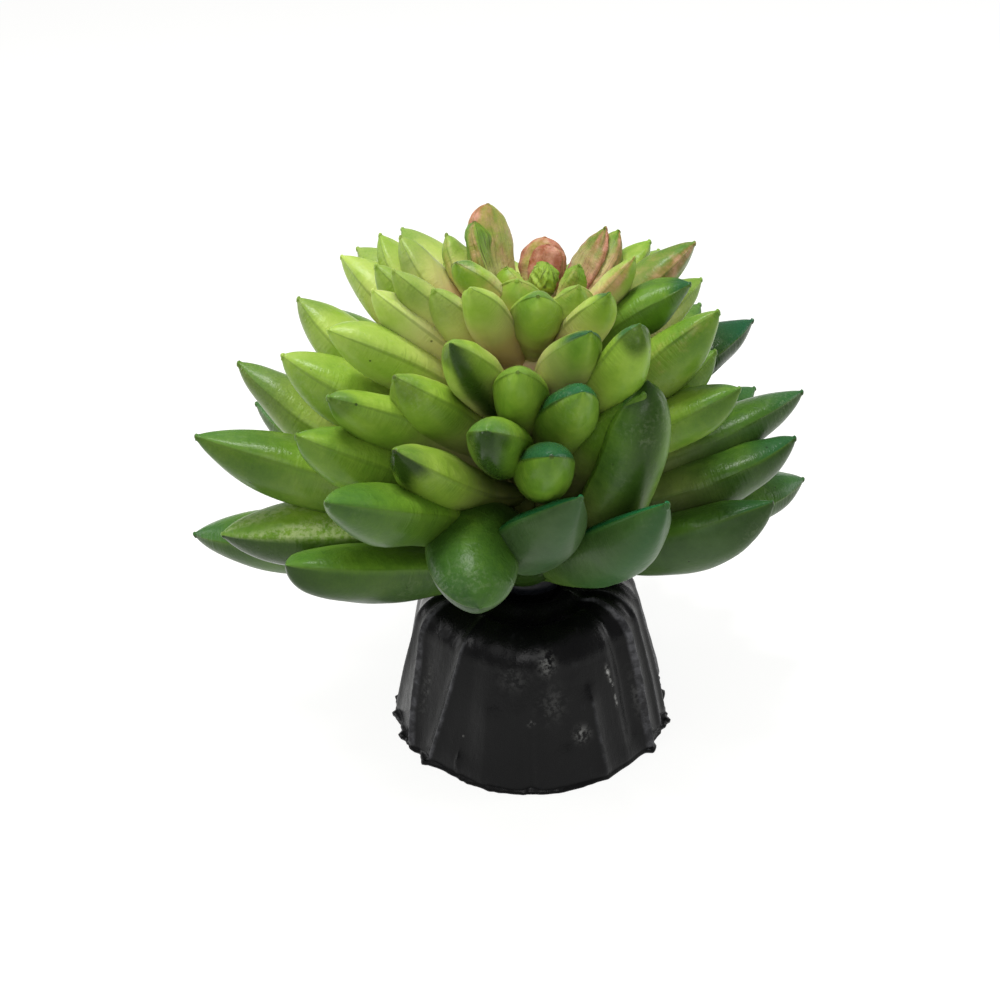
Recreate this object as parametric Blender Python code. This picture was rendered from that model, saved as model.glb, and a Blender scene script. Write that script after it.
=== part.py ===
import math
import bpy
import bmesh
import numpy as np
from mathutils import Vector
from mathutils.bvhtree import BVHTree

# Moulded succulent rosette on a fluted black plug.
# Lengths in the tables are millimetres and angles degrees; the mesh is metres.
# +Z is up, -Y is the front, the origin is the middle of the plug's flat bottom.

MM = 0.001
GAP = 0.3                # clearance kept between touching pieces

# ---- plug (the holder) ----------------------------------------------------
PLUG_FOOT_R = 26.0       # mean radius at the bottom rim
PLUG_TOP_R = 19.0        # mean radius of the top face
PLUG_H = 29.0
PLUG_FLUTES = 15
PLUG_FLUTE_DEPTH = 1.3
PLUG_FLASH = 0.8         # thin rim of flash left round the bottom edge
PLUG_FLASH_T = 0.9
PLUG_SEGMENTS = 60

# ---- leaning axis of the plant -------------------------------------------
LEAN_BACK = 4.0
LEAN_RIGHT = 3.0
CROWN_Z = 30.0           # height of the plant's own zero, just above the plug

# ---- stem ------------------------------------------------------------------
STEM_TOP_H = 48.5        # height above CROWN_Z
STEM_PROFILE_H = (0.0, 20.0, 40.0, 52.0, 60.0)
STEM_PROFILE_R = (7.0, 7.0, 6.0, 4.0, 2.5)   # radius where the leaf bases start
STEM_SKIN = 1.15         # the stem itself is this much slimmer

# ---- leaves ----------------------------------------------------------------
LEAF_STATIONS = 7        # sections along a leaf
LEAF_AROUND = 6          # points round a section
LEAF_SLIM_W = 0.90       # the solids are a little slimmer than the finished
LEAF_SLIM_T = 0.85       # leaves, whose soft skins press against each other
LEAF_NECK = 0.42         # width of the leaf's foot, as a share of its width
LEAF_WIDEST = 0.64       # where along the leaf it is widest
LEAF_UPPER = 0.36        # share of the thickness above the edge line

# name, azimuth (0 = front, + = right), reach, tip height, foot height,
# width, thickness, bend (+ = arched over, - = curled up), roll, tip bluntness,
# sideways sweep.  Heights are above CROWN_Z on the leaning axis.
LEAVES = [
    ("a01",   -95,    62,     6,     4,    15,    12,     2,    -4,     2,     0),
    ("a02",   -77,    54,    15,     7,    15,  11.5,     3,    -8,   2.2,     0),
    ("a03",   -58,    47,    16,     4,    15,    10,     0,   -18,   2.3,     0),
    ("a04",   -33,    55,  37.5,    12,  13.5,   9.5,     1,    -3,   1.5,     1),
    ("a05",   -12,  43.5,  18.4,     7,  14.8,  10.6,   7.8,     0,   3.3,   4.4),
    ("a06",     8,    40,    35,    10,  13.5,   8.5,    -2,     0,   1.7,     4),
    ("a07",    26,    42,    33,     6,    12,   9.5,  -1.5,    15,   1.5,     0),
    ("a08",    68,    43,  22.5,     8,    15,    11,  -2.5,    24,   1.6,     0),
    ("a09",   104,    55,    13,   6.5,    15,    11,   0.5,     0,   2.1,     0),
    ("a10",   126,    54,    11,     4,    15,    11,   1.5,     0,     2,     0),
    ("a11",   149,    57,    14,     8,    15,    11,     1,     0,   1.9,     0),
    ("a12",   172,    56,     9,     4,    15,    11,     2,     0,     2,     0),
    ("a13",  -165,    58,    15,     8,    15,    11,   0.5,     0,   1.9,     0),
    ("a14",  -142,    57,     9,     4,    15,    11,     2,     0,   2.1,     0),
    ("a15",  -118,    60,    14,     7,    15,    11,   0.5,     0,   1.9,     0),
    ("b01",   -78,  56.5,    33,    13,    14,    12,   0.5,   -13,  1.75,     0),
    ("b02",   -52,    46,    40,    17,  13.5,  10.5,   0.5,     0,     2,     0),
    ("b03",   -30,    42,    41,    20,    12,     9,    -1,    12,   1.8,     0),
    ("b04",   -11,    42,    46,    27,     9,   8.8,     0,     0,   2.4,     0),
    ("b05",   1.5,    41,    42,    23,   9.4,     9,     0,     0,   2.4,     0),
    ("b06",    30,    32,    48,     9,    12,   9.2,    -6,     0,   2.8,   0.9),
    ("b07",    85,    46,    29,    14,    14,    10,    -2,    12,   1.9,     0),
    ("b08",    96,    49,    34,    16,  13.5,   9.5,     0,    14,  1.85,     0),
    ("b09",   117,    50,    28,    14,    14,    10,     0,     0,   1.9,     0),
    ("b10",   138,    52,    31,    15,    14,    10,     0,     0,   1.9,     0),
    ("b11",   160,    51,    27,    14,    14,    10,     0,     0,   1.9,     0),
    ("b12",  -177,    53,    31,    16,    14,    10,     0,     0,   1.9,     0),
    ("b13",  -155,    52,    27,    14,    14,    10,     0,     0,   1.9,     0),
    ("b14",  -132,    54,    32,    15,    14,    10,     0,     0,   1.9,     0),
    ("b15",  -112,    55,    26,    12,    14,    10,     0,     0,   1.9,     0),
    ("c01",   -98,  51.5,    39,  13.5,  13.5,  10.5,    -1,    -3,   1.7,     0),
    ("c02",   -79,  41.5,  45.5,    24,  12.5,    11,   0.5,     0,   2.2,     0),
    ("c03",   -48,    42,    46,    21,    12,     9,     2,    -8,   2.2,     0),
    ("c04",   -39,    34,  48.5,    27,  11.5,     9,     0,     0,     2,     0),
    ("c05",   -96,  39.5,  51.5,    26,  12.5,   9.5,  -0.5,     0,  2.15,     0),
    ("c06",     9,    36,  49.5,    26,   9.6,   8.5,     0,     0,     2,     0),
    ("c07",    27,  33.5,    47,    18,    11,     8,     0,     0,     2,     0),
    ("c08",    62,  36.5,    43,  23.5,  12.5,     9,   0.5,     0,   1.9,     0),
    ("c09",    84,    31,  44.5,    24,    11,     8,     0,     0,   1.9,     0),
    ("c10",   110,  43.5,    44,    24,  12.5,   8.5,     2,     3,     2,     0),
    ("c11",   130,    44,    43,    23,  12.5,     9,   0.5,     0,   1.9,     0),
    ("c12",   151,    43,    45,    25,  12.5,     9,   0.5,     0,   1.9,     0),
    ("c13",   172,    44,    43,    24,  12.5,     9,   0.5,     0,   1.9,     0),
    ("c14",  -167,    43,    45,    25,  12.5,     9,   0.5,     0,   1.9,     0),
    ("c15",  -146,    44,    43,    23,  12.5,     9,   0.5,     0,   1.9,     0),
    ("c16",  -122,    44,    44,    24,  12.5,     9,   0.5,     0,   1.9,     0),
    ("c17",    62,    32,    55,    26,    12,   9.5,     1,     8,   1.8,     0),
    ("d01",   -63,    36,  52.5,    30,  12.5,     9,     3,     0,   2.4,     0),
    ("d02",    25,    33,  57.5,    30,   8.6,     8,  -2.5,     0,   2.6,     0),
    ("d03",    -6,    33,  51.5,    31,   8.5,   8.5,     0,     0,   2.2,     0),
    ("d04",   138,    35,    52,    30,  11.5,   8.5,     1,     0,     2,     0),
    ("d05",   161,    35,    51,    30,    11,   8.5,     1,     0,     2,     0),
    ("d06",  -176,    35,    50,    29,    11,   8.5,     1,     0,     2,     0),
    ("d07",  -155,    35,    54,    31,  11.5,   8.5,     1,     0,     2,     0),
    ("e01",   -23,    33,    55,    34,   8.6,   8.2,     0,     0,   2.2,     0),
    ("e02",    13,    31,  56.5,    34,   9.2,   8.2,     1,     0,   1.8,     0),
    ("e03",   106,    31,  53.5,    34,  10.2,     8,     2,     0,     2,     0),
    ("e04",  -108,    34,    57,    32,  11.4,     9,   2.5,     5,  1.85,     0),
    ("e05",  -118,    34,    57,    34,  11.2,     9,   2.5,     8,     2,     0),
    ("e06",  -137,    33,  58.5,    34,  10.8,   8.5,     3,     5,   1.8,     0),
    ("e07",   128,    30,    56,    35,    11,     8,     1,     0,     2,     0),
    ("f01",   -65,    28,  57.5,    38,  10.6,     7,     0,     0,     2,     0),
    ("f02",  -114,    28,  60.5,    39,   9.8,     7,    -1,     0,   2.2,     0),
    ("f03",    75,    26,    57,    38,  10.6,     8,     3,     0,     2,     0),
    ("f04",    94,    27,  61.5,    38,    10,     7,   2.5,     0,   1.9,     0),
    ("f05",   114,  22.5,    60,    38,  10.2,   7.5,     2,     0,   1.6,     0),
    ("f06",   150,    29,    53,  37.5,    11,     8,     1,     0,     2,     0),
    ("f07",   172,    30,    51,    37,    11,     8,     1,     0,     2,     0),
    ("f08",  -164,    29,    54,  37.5,    11,     8,     1,     0,     2,     0),
    ("g01",   -75,    26,    60,    40,   9.2,     7,     0,     0,     2,     0),
    ("g02",   -62,    25,  60.5,    42,   9.2,   6.5,     0,     0,     2,     0),
    ("g03",  -100,    22,    62,    42,   9.2,   6.5,     0,     0,     2,     0),
    ("g04",   -46,    22,  58.5,    42,     8,   6.5,     0,     0,     2,     0),
    ("g05",   -25,    24,  60.5,    41,   7.6,   6.5,     1,     0,     2,     0),
    ("g06",     0,    19,  58.5,    46,   8.2,     7,     0,     0,   2.2,     0),
    ("g07",    29,    22,    59,    42,   8.2,   6.5,     0,     0,     2,     0),
    ("g08",   140,    22,    55,    42,   9.5,     7,     1,     0,     2,     0),
    ("g09",   165,    23,    50,    41,   9.5,     7,     1,     0,     2,     0),
    ("g10",  -168,    22,    54,    42,   9.5,     7,     1,     0,     2,     0),
    ("g11",  -140,    22,    56,    42,   9.5,     7,     1,     0,     2,     0),
    ("h01",   -48,  16.5,  61.5,    47,   9.5,     5,     1,     0,   2.4,     0),
    ("h02",   -14,    12,    59,    48,   8.5,   5.5,     0,     0,   2.2,     0),
    ("h03",    26,    15,  58.5,    46,   8.5,     6,     0,     0,     2,     0),
    ("h04",    70,    17,    61,    46,     8,     5,     0,     0,     2,     0),
    ("h05",   118,    17,    62,    47,   8.5,     5,     0,     0,     2,     0),
    ("h06",   152,    14,    54,    46,   8.5,     5,     0,     0,     2,     0),
    ("h07",  -172,    14,    53,    46,   8.5,     5,     0,     0,     2,     0),
    ("h08",  -110,    15,    62,    47,   8.5,     5,     0,     0,     2,     0),
    ("k01",  -128,   9.2,    67,    50,  10.2,     5,     0,     0,   2.2,    -1),
    ("k02",   162,     8,    61,    50,     8,     5,     0,     0,   2.2,     0),
    ("k03",   100,   2.5,  58.5,    52,   6.5,   4.5,     0,     0,   2.2,     0),
    ("k04",   -60,     5,  58.5,    51,     6,     4,     0,     0,   2.2,     0),
    ("k05",    70,     8,    59,    51,     6,     4,     0,     0,   2.2,     0),
]

# Leaves moulded together on one collar, from the middle of the plant upwards:
# node name, first letter of its leaves, collar bottom and top height.
WHORLS = [
    ("whorl_mid", "d", 29.0, 32.2),
    ("whorl_upper", "e", 32.6, 36.2),
    ("whorl_high", "f", 36.6, 39.6),
    ("whorl_crown", "g", 40.0, 44.6),
    ("whorl_inner", "h", 45.0, 48.6),
    ("whorl_heart", "k", 49.0, 53.0),
]
SINGLE_NAMES = {"a": "leaf_low", "b": "leaf_second", "c": "leaf_third"}


# ---- frame of the plant ----------------------------------------------------
def plant_frame():
    z = np.array([math.sin(math.radians(LEAN_RIGHT)),
                  math.sin(math.radians(LEAN_BACK)), 0.0])
    z[2] = math.sqrt(1.0 - z[0] ** 2 - z[1] ** 2)
    x = np.array([1.0, 0.0, 0.0])
    x = x - z * (x @ z)
    x = x / np.linalg.norm(x)
    return np.stack([x, np.cross(z, x), z], 1)


FRAME = plant_frame()


def to_part(p):
    """plant coordinates (mm) to part coordinates (mm)"""
    return np.array([0.0, 0.0, CROWN_Z]) + np.asarray(p, float) @ FRAME.T


def foot_radius(h):
    return float(np.interp(h, STEM_PROFILE_H, STEM_PROFILE_R))


# ---- small helpers -----------------------------------------------------------
def clear_scene():
    for ob in list(bpy.data.objects):
        bpy.data.objects.remove(ob, do_unlink=True)


def plastic(name, colour, rough):
    mat = bpy.data.materials.new(name)
    mat.use_nodes = True
    bsdf = mat.node_tree.nodes["Principled BSDF"]
    bsdf.inputs["Base Color"].default_value = (*colour, 1.0)
    bsdf.inputs["Roughness"].default_value = rough
    bsdf.inputs["Metallic"].default_value = 0.0
    mat.diffuse_color = (*colour, 1.0)
    return mat


def mesh_object(name, verts_mm, faces, mat=None):
    me = bpy.data.meshes.new(name)
    me.from_pydata([tuple(v * MM for v in p) for p in verts_mm], [], faces)
    bm = bmesh.new()
    bm.from_mesh(me)
    bmesh.ops.recalc_face_normals(bm, faces=bm.faces)
    bmesh.ops.triangulate(bm, faces=[f for f in bm.faces if len(f.verts) > 4])
    bm.to_mesh(me)
    bm.free()
    ob = bpy.data.objects.new(name, me)
    bpy.context.scene.collection.objects.link(ob)
    if mat:
        me.materials.append(mat)
    return ob


def ring_solid(rings, closed_tip):
    """faces of a tube of equal rings, closed at both ends; with closed_tip the
    last ring is one point"""
    n, m = len(rings), len(rings[0])
    verts, faces = [], []
    last = n - 1 if closed_tip else n
    for r in rings[:last]:
        verts.extend([tuple(p) for p in r])
    for i in range(last - 1):
        for j in range(m):
            a, b = i * m + j, i * m + (j + 1) % m
            faces.append((a, b, b + m, a + m))
    faces.append(tuple(reversed(range(m))))
    top = (last - 1) * m
    if closed_tip:
        verts.append(tuple(rings[-1][0]))
        for j in range(m):
            faces.append((top + j, top + (j + 1) % m, len(verts) - 1))
    else:
        faces.append(tuple(top + j for j in range(m)))
    return verts, faces


def evaluated_mesh(ob):
    dg = bpy.context.evaluated_depsgraph_get()
    dg.update()
    return bpy.data.meshes.new_from_object(ob.evaluated_get(dg))


def boolean(ob, others, operation):
    """apply Boolean modifiers, one for each other object, and delete those"""
    for other in others:
        mod = ob.modifiers.new("cut", "BOOLEAN")
        mod.operation = operation
        mod.solver = "EXACT"
        mod.object = other
    me = evaluated_mesh(ob)
    ob.modifiers.clear()
    ob.data = me
    for other in others:
        bpy.data.objects.remove(other, do_unlink=True)


def closed(bm):
    return all(len(e.link_faces) == 2 for e in bm.edges)


def main_body(bm):
    """delete all but the largest connected body"""
    left = set(bm.faces)
    bodies = []
    while left:
        seed = left.pop()
        body, queue = {seed}, [seed]
        while queue:
            f = queue.pop()
            for e in f.edges:
                for g in e.link_faces:
                    if g in left:
                        left.discard(g)
                        body.add(g)
                        queue.append(g)
        bodies.append(body)
    bodies.sort(key=lambda b: sum(f.calc_area() for f in b), reverse=True)
    for body in bodies[1:]:
        bmesh.ops.delete(bm, geom=list(body), context="FACES")
    bmesh.ops.delete(bm, geom=[v for v in bm.verts if not v.link_faces],
                     context="VERTS")


def tidy(ob):
    """weld hair-thin edges, as far as the surface stays closed, and keep the
    one main body"""
    for weld in (0.01, 0.003, 0.0):
        bm = bmesh.new()
        bm.from_mesh(ob.data)
        bmesh.ops.triangulate(bm, faces=bm.faces[:])
        if weld:
            bmesh.ops.remove_doubles(bm, verts=bm.verts, dist=weld * MM)
            bmesh.ops.dissolve_degenerate(bm, edges=bm.edges,
                                          dist=0.5 * weld * MM)
            bmesh.ops.triangulate(bm, faces=bm.faces[:])
        main_body(bm)
        if closed(bm) or weld == 0.0:
            bmesh.ops.recalc_face_normals(bm, faces=bm.faces)
            bm.to_mesh(ob.data)
            bm.free()
            return
        bm.free()


def bvh(ob):
    me = ob.data
    return BVHTree.FromPolygons([v.co for v in me.vertices],
                                [tuple(p.vertices) for p in me.polygons])


def touches(ob, other):
    """True if the surfaces cross, or one holds the other's first point"""
    a, b = bvh(ob), bvh(other)
    return bool(a.overlap(b))


# ---- one leaf --------------------------------------------------------------------
def leaf_rings(row, grow=0.0):
    """sections of a leaf in part millimetres; grow thickens it all round"""
    (_, az, reach, tip_h, foot_h, width, thick, bend, roll, blunt, sweep) = row
    width = width * LEAF_SLIM_W + 2.0 * grow
    thick = thick * LEAF_SLIM_T + 2.0 * grow
    a = math.radians(az)
    out = np.array([math.sin(a), -math.cos(a), 0.0])
    up = np.array([0.0, 0.0, 1.0])
    foot_r = min(foot_radius(foot_h), max(reach - 3.0, 0.0))
    foot = out * foot_r + up * foot_h
    tip = out * reach + up * tip_h
    along = (tip - foot) / np.linalg.norm(tip - foot)
    tip = tip + along * grow
    side = np.cross(out, up)
    rise = np.cross(side, along)
    mid = (foot + tip) / 2.0 + rise * bend * 2.0 + side * sweep * 2.0
    ts = [i / (LEAF_STATIONS - 3) * 0.82 for i in range(LEAF_STATIONS - 2)]
    ts += [0.93, 1.0]
    rings = []
    for t in ts:
        centre = (1 - t) ** 2 * foot + 2 * t * (1 - t) * mid + t * t * tip
        d = 2 * (1 - t) * (mid - foot) + 2 * t * (tip - mid)
        d = d / np.linalg.norm(d)
        s = np.cross(d, rise)
        s = s / np.linalg.norm(s)
        if s @ side < 0:
            s = -s
        n = np.cross(s, d)
        c, k = math.cos(math.radians(roll)), math.sin(math.radians(roll))
        s, n = c * s + k * n, c * n - k * s
        if t < LEAF_WIDEST:
            w = LEAF_NECK + (1 - LEAF_NECK) * math.sin(
                math.pi / 2 * t / LEAF_WIDEST) ** 1.15
        else:
            w = 1.0 - ((t - LEAF_WIDEST) / (1 - LEAF_WIDEST)) ** blunt
        if t >= 1.0:
            w = 0.0
        h = w ** 0.85
        ring = []
        for j in range(LEAF_AROUND):
            th = 2 * math.pi * j / LEAF_AROUND
            x = math.cos(th) * width / 2 * w
            y = abs(math.sin(th)) ** 0.9 * thick * h
            y = y * LEAF_UPPER if math.sin(th) >= 0 else -y * (1 - LEAF_UPPER)
            p = centre + s * x + n * y
            if t == 0.0 and row[0][0] in SINGLE_NAMES:
                # the foot of a single leaf is cut square to the stem
                p = p + out * (foot_r - grow - p @ out)
            ring.append(p)
        rings.append([to_part(p) for p in ring])
    return rings


def make_leaf(name, row, mat=None, grow=0.0):
    verts, faces = ring_solid(leaf_rings(row, grow), True)
    return mesh_object(name, verts, faces, mat)


# ---- plug -----------------------------------------------------------------------
def plug_radius(u, th):
    """radius at share u of the height (0 = bottom) and angle th"""
    mean = PLUG_FOOT_R + (PLUG_TOP_R - PLUG_FOOT_R) * u ** 1.15
    shoulder = max(0.0, (u - 0.9) / 0.1)
    wobble = 0.35 * math.sin(3 * th + 0.7) + 0.25 * math.sin(5 * th + 2.1)
    phase = th * PLUG_FLUTES + 0.5 * math.sin(2 * th + 0.4)
    rib = abs(math.sin(phase / 2.0)) ** 0.7
    depth = PLUG_FLUTE_DEPTH * (0.45 + 0.55 * u) * (1.0 - 0.35 * shoulder)
    return (mean + wobble + depth * (rib - 0.6)) - 1.6 * shoulder ** 2


def make_plug(mat):
    rings = []
    steps = [("flash", 0.0), ("flash", PLUG_FLASH_T), ("wall", PLUG_FLASH_T),
             ("wall", 5.0), ("wall", 11.0), ("wall", 17.0), ("wall", 22.5),
             ("wall", 26.5), ("wall", 28.2), ("wall", PLUG_H)]
    for kind, z in steps:
        ring = []
        for j in range(PLUG_SEGMENTS):
            th = 2 * math.pi * j / PLUG_SEGMENTS
            r = plug_radius(z / PLUG_H, th)
            if kind == "flash":
                r = PLUG_FOOT_R + 0.55 + PLUG_FLASH * (
                    0.6 + 0.4 * math.sin(7 * th + 1.0) * math.sin(3 * th))
            ring.append((r * math.cos(th), r * math.sin(th), z))
        rings.append(ring)
    verts, faces = ring_solid(rings, False)
    return mesh_object("plug", verts, faces, mat)


# ---- stem and collars -----------------------------------------------------------
def lathe(profile, name, mat, around=24):
    """solid turned round the leaning axis from (radius, height) pairs"""
    rings = []
    for r, h in profile:
        rings.append([to_part((r * math.cos(2 * math.pi * j / around),
                               r * math.sin(2 * math.pi * j / around), h))
                      for j in range(around)])
    verts, faces = ring_solid(rings, False)
    return mesh_object(name, verts, faces, mat)


def stem_radius(h):
    return foot_radius(h) - STEM_SKIN


def make_stem(mat, grow=0.0):
    hs = [0.0, 10.0, 20.0, 30.0, 40.0, STEM_TOP_H + grow]
    foot = [(stem_radius(h) + grow, h) for h in hs]
    ob = lathe(foot, "stem", mat)
    if grow:
        return ob
    # the lowest ring lies flat on the plug's top face
    flat = (PLUG_H + GAP) * MM
    low = sorted(ob.data.vertices, key=lambda v: v.co.z)[:24]
    for v in low:
        v.co.z = flat
    return ob


def make_collar(h0, h1, mat, grow=0.0):
    """ring that slips over the stem and carries a whorl's leaves"""
    around = 24
    inner = stem_radius(h0) - 0.5
    outer = foot_radius(0.5 * (h0 + h1)) + 0.9 + grow
    h0, h1 = h0 - grow, h1 + grow
    prof = [(inner, h0), (outer, h0), (outer, h1), (inner, h1)]
    verts, faces = [], []
    for r, h in prof:
        for j in range(around):
            th = 2 * math.pi * j / around
            verts.append(to_part((r * math.cos(th), r * math.sin(th), h)))
    n = len(prof)
    for i in range(n):
        for j in range(around):
            a, b = i * around + j, i * around + (j + 1) % around
            c, d = (((i + 1) % n) * around + (j + 1) % around,
                    ((i + 1) % n) * around + j)
            faces.append((a, b, c, d))
    return mesh_object("collar", verts, faces, mat)


def make_heart_core(h0, h1, mat):
    prof = [(4.2, h0), (4.4, h0 + 1.2), (3.4, h1 - 1.0), (1.2, h1 + 1.6)]
    return lathe(prof, "core", mat, around=16)


# ---- build -----------------------------------------------------------------------
def build():
    clear_scene()
    black = plastic("plug_black", (0.012, 0.012, 0.013), 0.45)
    stem_mat = plastic("stem_green", (0.20, 0.26, 0.06), 0.5)
    low_mat = plastic("leaf_dark_green", (0.045, 0.13, 0.025), 0.4)
    mid_mat = plastic("leaf_green", (0.16, 0.33, 0.035), 0.4)
    top_mat = plastic("leaf_light_green", (0.32, 0.45, 0.09), 0.42)
    heart_mat = plastic("leaf_heart", (0.42, 0.22, 0.13), 0.45)

    make_plug(black)
    make_stem(stem_mat)

    done = []                        # (rows, node object) already placed
    singles = [r for r in LEAVES if r[0][0] in SINGLE_NAMES]
    for row in singles:
        tier, number = row[0][0], row[0][1:]
        mat = low_mat if tier == "a" else mid_mat
        ob = make_leaf("%s_%s" % (SINGLE_NAMES[tier], number), row, mat)
        cutters = []
        for other in done:
            grown = make_leaf("grown", other, None, GAP + 0.05)
            if touches(ob, grown):
                cutters.append(grown)
            else:
                bpy.data.objects.remove(grown, do_unlink=True)
        if cutters:
            boolean(ob, cutters, "DIFFERENCE")
            tidy(ob)
        done.append(row)

    collars = []
    for name, tier, h0, h1 in WHORLS:
        rows = [r for r in LEAVES if r[0][0] == tier]
        mat = heart_mat if tier == "k" else top_mat
        body = (make_heart_core(h0, h1, mat) if tier == "k"
                else make_collar(h0, h1, mat))
        body.name = name
        body.data.name = name
        boolean(body, [make_leaf("part", r, mat) for r in rows], "UNION")
        cutters = [make_stem(None, GAP)]
        for other in done + collars:
            grown = (make_leaf("grown", other, None, GAP + 0.05)
                     if len(other) > 2 else
                     make_collar(other[0], other[1], None, GAP))
            if touches(body, grown):
                cutters.append(grown)
            else:
                bpy.data.objects.remove(grown, do_unlink=True)
        boolean(body, cutters, "DIFFERENCE")
        tidy(body)
        done.extend(rows)
        collars.append((h0, h1))

    for ob in bpy.data.objects:
        ob.data.shade_smooth()
        ob.data.set_sharp_from_angle(angle=math.radians(40.0))


build()
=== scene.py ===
import math
import bpy
import bmesh
import numpy as np
from mathutils import Matrix, Vector


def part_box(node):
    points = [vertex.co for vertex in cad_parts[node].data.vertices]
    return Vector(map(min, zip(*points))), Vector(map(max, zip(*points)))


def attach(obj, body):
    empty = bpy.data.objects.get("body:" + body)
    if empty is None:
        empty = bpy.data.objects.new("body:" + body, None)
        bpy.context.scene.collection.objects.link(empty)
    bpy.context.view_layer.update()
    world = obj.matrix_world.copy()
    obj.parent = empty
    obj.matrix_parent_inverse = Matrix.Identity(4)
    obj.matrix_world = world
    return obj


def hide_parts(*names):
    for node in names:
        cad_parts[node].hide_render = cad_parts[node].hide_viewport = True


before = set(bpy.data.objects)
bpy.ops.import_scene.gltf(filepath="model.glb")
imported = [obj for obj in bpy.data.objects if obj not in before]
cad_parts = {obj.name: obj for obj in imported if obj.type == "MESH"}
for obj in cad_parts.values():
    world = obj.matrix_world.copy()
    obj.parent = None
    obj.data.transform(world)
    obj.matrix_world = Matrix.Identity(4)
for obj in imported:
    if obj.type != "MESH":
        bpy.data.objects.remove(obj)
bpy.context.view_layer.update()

MM = 0.001

# Moulded succulent rosette on a fluted black plug: its looks.
# Tables are in millimetres and degrees, as in the CAD source.  +Z is up, -Y is
# the front, and the origin is the middle of the plug's flat bottom.

# ---------------------------------------------------------------- sizes
LEAN_BACK = 4.0
LEAN_RIGHT = 3.0
CROWN_Z = 30.0
PLUG_FOOT_R = 26.0
PLUG_TOP_R = 19.0
PLUG_H = 29.0
STEM_TOP_H = 48.5
STEM_PROFILE_H = (0.0, 20.0, 40.0, 52.0, 60.0)
STEM_PROFILE_R = (7.0, 7.0, 6.0, 4.0, 2.5)
LEAF_NECK = 0.42
LEAF_WIDEST = 0.64
LEAF_UPPER = 0.36

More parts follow.
